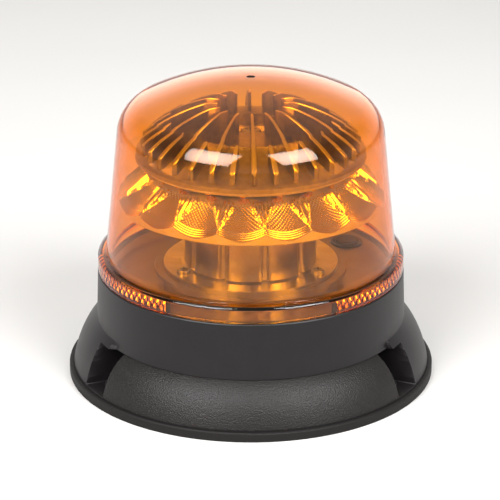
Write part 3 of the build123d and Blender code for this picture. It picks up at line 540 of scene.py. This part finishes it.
# A small dimple in the middle of the crown, where the plastic was let into the mould
tip = [(1.9, 133.76), (1.5, 133.35), (0.9, 133.2), (0.02, 133.2)]
skin_out = [p for p in skin_out if p[0] > 2.2] + tip
profile = outer + skin_out
inner = [(0.02, crown_centre + crown_radius - wall)] + skin_in[::-1]
lens_rows = [polar(np.full(lens_turns, r), ring, z) for r, z in profile + inner]
lens_rows.append(polar(np.full(lens_turns, inner[-1][0] + 0.4), ring, step_under))
lens_rows.append(polar(np.full(lens_turns, flange_in - 0.25), ring, step_under))
# Inside of the flange: two rows of four-sided prisms between the clear windows
window_half_span = 33
prism_pitch, prism_depth = 3.0, 1.15
from_window = np.abs((ring + 60) % 120 - 60)
prism_zone = (from_window > window_half_span).astype(float)
upper = 1 - np.abs((ring / prism_pitch) % 1 - 0.5) * 2
lower = 1 - np.abs((ring / prism_pitch + 0.5) % 1 - 0.5) * 2
plain = 0 * ring
prism_rows = ((52.75, plain), (51.68, upper), (50.6, plain), (49.52, lower), (48.45, plain))
for height, tooth in prism_rows:
    lens_rows.append(polar(flange_in + prism_depth * tooth * prism_zone, ring, height))

# Clear polycarbonate dyed in the mass: the colour deepens with the thickness looked through
amber = new_material("amber polycarbonate")
clear = add(amber, "BsdfPrincipled", {"Base Color": (1, 1, 1, 1), "Roughness": 0.0, "IOR": 1.46})
clear.inputs["Transmission Weight"].default_value = 1.0
dye = add(amber, "VolumeAbsorption", {"Color": (0.993, 0.775, 0.01, 1.0), "Density": 1130.0})
add(amber, "OutputMaterial", {"Surface": clear.outputs[0], "Volume": dye.outputs[0]})
# Reflex prisms send light back the way it came; gold-tinted mirrors on their backs stand in
# for that, because two rows of plain clear facets show the black ring behind them
prisms = new_material("amber reflex prisms")
shade, _ = mottled(prisms, "#ffd23c", "#ffdc5a", 0.3)
back = add(prisms, "BsdfPrincipled", {"Base Color": shade, "Metallic": 1.0, "Roughness": 0.08})
add(prisms, "OutputMaterial", {"Surface": back.outputs[0]})
lens_faces = ring_grid(len(lens_rows), lens_turns)
first_prism = len(lens_rows) - len(prism_rows)
finish = [
    1 if first_prism <= k // lens_turns < len(lens_rows) - 1 and prism_zone[k % lens_turns] else 0
    for k in range(len(lens_faces))
]
dome = np.concatenate(lens_rows)
lens = make_piece("amber_dome", dome, lens_faces, [amber, prisms], "lens", 40, finish)
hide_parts("lens")
# Three lugs inside the foot of the flange, which turn in the track of the base's lens ring
lug_span, lug_steps = 16.0, 17
lug_section = ((62.9, flange_low), (64.35, flange_low), (64.35, 49.65), (62.9, 49.65))
lug_points, lug_faces = [], []
for number, start in enumerate((36.0, 156.0, 276.0)):
    span = np.linspace(start, start + lug_span, lug_steps)
    lug_points += [polar(np.full(lug_steps, r), span, z) for r, z in lug_section]
    corners = [(4 * number + i) * lug_steps for i in range(4)]
    for i in range(4):
        a, b = corners[i], corners[(i + 1) % 4]
        for j in range(lug_steps - 1):
            lug_faces.append((a + j, a + j + 1, b + j + 1, b + j))
    lug_faces.append(corners)
    lug_faces.append([corner + lug_steps - 1 for corner in corners[::-1]])
lugs = make_piece("lens_lugs", np.concatenate(lug_points), lug_faces, [amber], "lens", 30)

# ---------------------------------------------------------------- studio
# A round pale paper floor, two softboxes in front and a pale band of light behind and above.
paper = new_material("white paper")
shade, _ = mottled(paper, "#c0bfbd", "#c3c2c0", 0.005)
look = {"Base Color": shade, "Roughness": 0.9, "Specular IOR Level": 0.1}
body = add(paper, "BsdfPrincipled", look)
add(paper, "OutputMaterial", {"Surface": body.outputs[0]})
floor_radius, floor_sides = 3.0, 96
turn = np.linspace(0, 2 * math.pi, floor_sides, endpoint=False)
points = np.stack([floor_radius * np.cos(turn), floor_radius * np.sin(turn), 0 * turn], -1)
mesh = bpy.data.meshes.new("paper")
mesh.from_pydata(points.tolist(), [], [list(range(floor_sides))])
mesh.materials.append(paper)
floor = bpy.data.objects.new("paper_floor", mesh)
bpy.context.scene.collection.objects.link(floor)


def softbox(name, azimuth, elevation, distance, wide, tall, power, spread):
    """A soft rectangular light that faces the object, its spread narrowed to some degrees."""
    light = bpy.data.lights.new(name, "AREA")
    light.shape = "RECTANGLE"
    light.size, light.size_y, light.energy = wide, tall, power
    light.spread = math.radians(spread)
    made = bpy.data.objects.new(name, light)
    a, e = math.radians(azimuth), math.radians(elevation)
    across, back = math.sin(a) * math.cos(e), -math.cos(a) * math.cos(e)
    spot = np.array([across, back, math.sin(e)]) * distance
    made.location = spot + np.array([0, 0, 0.08])
    made.rotation_euler = (math.pi / 2 - e, 0, a)
    made.visible_camera = False
    bpy.context.scene.collection.objects.link(made)


softbox("left softbox", -39, 38, 1.5, 1.05, 1.0, 9, 75)
softbox("right softbox", 43, 38, 1.5, 0.85, 1.0, 7.5, 75)

# A pale band of light runs from the horizon behind the object to a little past overhead
world = bpy.data.worlds.new("studio")
world.use_nodes = True
place = add(world, "TexCoord")
way = add(world, "SeparateXYZ", {0: place.outputs["Generated"]})
side = add(world, "Math", {0: way.outputs["X"]}, operation="ABSOLUTE")
fades = (
    (side.outputs[0], 0.2, 0.8, 1.0, 0.45),
    (way.outputs["Y"], -0.35, 0.0, 0.5, 1.0),
    (way.outputs["Z"], 0.1, 0.5, 2.0, 0.8),
)
strengths = []
for value, start, end, first, last in fades:
    fade = {"Value": value, "From Min": start, "From Max": end, "To Min": first, "To Max": last}
    fade = add(world, "MapRange", fade, interpolation_type="SMOOTHSTEP")
    strengths.append(fade.outputs[0])
part = add(world, "Math", {0: strengths[0], 1: strengths[1]}, operation="MULTIPLY")
power = add(world, "Math", {0: part.outputs[0], 1: strengths[2]}, operation="MULTIPLY")
sky = world.node_tree.nodes["Background"]
sky.inputs[0].default_value = (1.0, 0.98, 0.96, 1.0)
world.node_tree.links.new(power.outputs[0], sky.inputs[1])
bpy.context.scene.world = world

# A long lens from 1.2 m away, in front and looking down
focal_length, looking_down = 198.2, 21.75
camera = bpy.data.objects.new("camera", bpy.data.cameras.new("camera"))
camera.data.lens, camera.data.sensor_width, camera.data.shift_x = focal_length, 36.0, -0.0016
camera.location = (0, -1.1146, 0.4991)
camera.rotation_euler = (math.radians(90 - looking_down), 0, 0)
camera.data.clip_end = 20
bpy.context.scene.collection.objects.link(camera)
bpy.context.scene.camera = camera
bpy.context.scene.view_settings.view_transform = "Standard"
